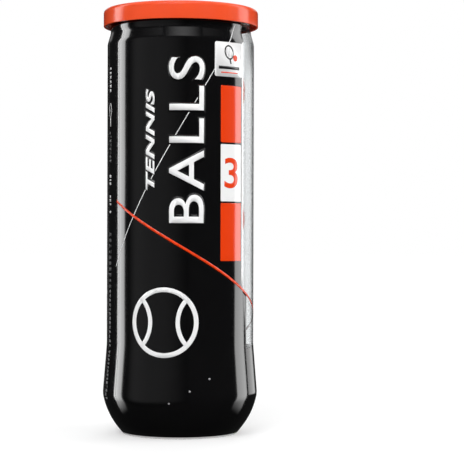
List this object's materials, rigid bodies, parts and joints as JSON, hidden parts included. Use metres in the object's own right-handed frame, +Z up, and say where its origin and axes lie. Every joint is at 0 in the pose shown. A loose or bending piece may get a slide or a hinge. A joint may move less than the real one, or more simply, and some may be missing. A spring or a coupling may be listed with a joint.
{
  "type": "tennis ball can",
  "caption": "Sealed clear plastic tube with a printed sleeve, a press-on overcap and a ring-pull metal end, holding felt-covered tennis balls in a stack.",
  "frame": {"origin": "middle of the can's axis at the plane the standing ring rests on", "axes": "+Z up along the can's axis, +X towards the nose of the ring pull, so the front of the sleeve faces -Y"},
  "size_m": [0.0784, 0.0784, 0.2145],
  "materials": {
    "clear_pet": "clear, glossy",
    "printed_sleeve": "glossy black film with white and orange print",
    "end_metal": "bright rolled sheet",
    "compound": "matte",
    "overcap_plastic": "moulded, softly glossy",
    "ball_rubber": "matte",
    "felt_yellow": "woven and raised felt",
    "felt_orange": "woven and raised felt",
    "ball_seam": "matte"
  },
  "bodies": {
    "can": {"pet_can": "clear_pet", "label_sleeve": "printed_sleeve", "end_ring": "end_metal", "sealing_compound": "compound"},
    "ball_bottom": {"ball_bottom_core_lower": "ball_rubber", "ball_bottom_core_upper": "ball_rubber", "ball_bottom_felt_yellow": "felt_yellow", "ball_bottom_felt_orange": "felt_orange", "ball_bottom_seam": "ball_seam"},
    "ball_middle": {"ball_middle_core_lower": "ball_rubber", "ball_middle_core_upper": "ball_rubber", "ball_middle_felt_yellow": "felt_yellow", "ball_middle_felt_orange": "felt_orange", "ball_middle_seam": "ball_seam"},
    "ball_top": {"ball_top_core_lower": "ball_rubber", "ball_top_core_upper": "ball_rubber", "ball_top_felt_yellow": "felt_yellow", "ball_top_felt_orange": "felt_orange", "ball_top_seam": "ball_seam"},
    "torn_panel": {"tear_panel": "end_metal", "rivet_tongue": "end_metal"},
    "ring_pull": {"pull_tab": "end_metal"},
    "lid": {"overcap": "overcap_plastic"}
  },
  "joints": [
    {"name": "ball_bottom_out", "type": "slide", "parent": "can", "child": "ball_bottom", "axis": [0, 0, 1], "range_m": [0, 0.21]},
    {"name": "ball_middle_out", "type": "slide", "parent": "ball_bottom", "child": "ball_middle", "axis": [0, 0, 1], "range_m": [0, 0.145]},
    {"name": "ball_top_out", "type": "slide", "parent": "ball_middle", "child": "ball_top", "axis": [0, 0, 1], "range_m": [0, 0.08]},
    {"name": "panel_lift", "type": "slide", "parent": "ball_top", "child": "torn_panel", "axis": [0, 0, 1], "range_m": [0, 0.03]},
    {"name": "ring_pull_lift", "type": "hinge", "parent": "torn_panel", "child": "ring_pull", "pos_m": [0.03205, 0, 0.2076], "axis": [0, 1, 0], "range_deg": [0, 75]},
    {"name": "overcap_lift", "type": "slide", "parent": "torn_panel", "child": "lid", "axis": [0, 0, 1], "range_m": [0, 0.06]}
  ],
  "couplings": [
    {"joint": "ring_pull_lift", "follows": "overcap_lift", "rad_per_m": 21.8}
  ]
}
